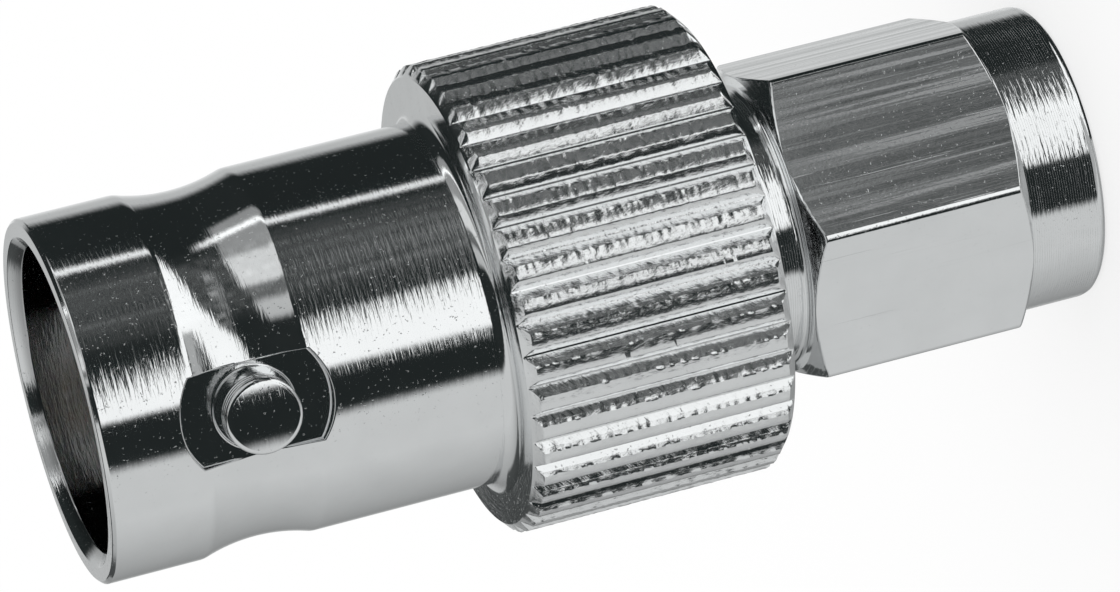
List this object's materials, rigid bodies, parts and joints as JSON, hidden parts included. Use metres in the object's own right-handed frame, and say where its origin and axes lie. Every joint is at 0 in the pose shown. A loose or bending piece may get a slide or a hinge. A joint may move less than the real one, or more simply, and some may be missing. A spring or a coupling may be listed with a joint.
{
  "type": "coaxial adapter",
  "caption": "Coaxial adapter with a bayonet jack and a knurled collar on one end and a threaded plug with a free-turning hex coupling nut on the other.",
  "frame": {"origin": "centre of the coupling nut's front rim, on which the adapter stands", "axes": "+Z along the axis, from the nut's rim up to the mouth of the jack; the two bayonet lugs lie along -Y and +Y"},
  "size_m": [0.0124, 0.0124, 0.0275],
  "materials": {
    "nickel_plate": "brass with bright nickel plate",
    "gold_plate": "copper alloy with gold plate",
    "spring_bronze": "bare spring bronze",
    "white_insulator": "turned white fluoropolymer",
    "silicone": "soft silicone"
  },
  "bodies": {
    "body": {"jack_body": "nickel_plate", "plug_body": "nickel_plate", "jack_insulator": "white_insulator", "plug_insulator": "white_insulator", "centre_contact": "gold_plate", "gasket": "silicone"},
    "ring": {"retaining_ring": "spring_bronze"},
    "nut": {"coupling_nut": "nickel_plate"}
  },
  "joints": [
    {"name": "nut_slide", "type": "slide", "parent": "body", "child": "ring", "axis": [0, 0, 1], "range_m": [-0.0004, 0]},
    {"name": "nut_spin", "type": "hinge", "parent": "ring", "child": "nut", "pos_m": [0, 0, 0.007], "axis": [0, 0, 1], "continuous": true}
  ]
}
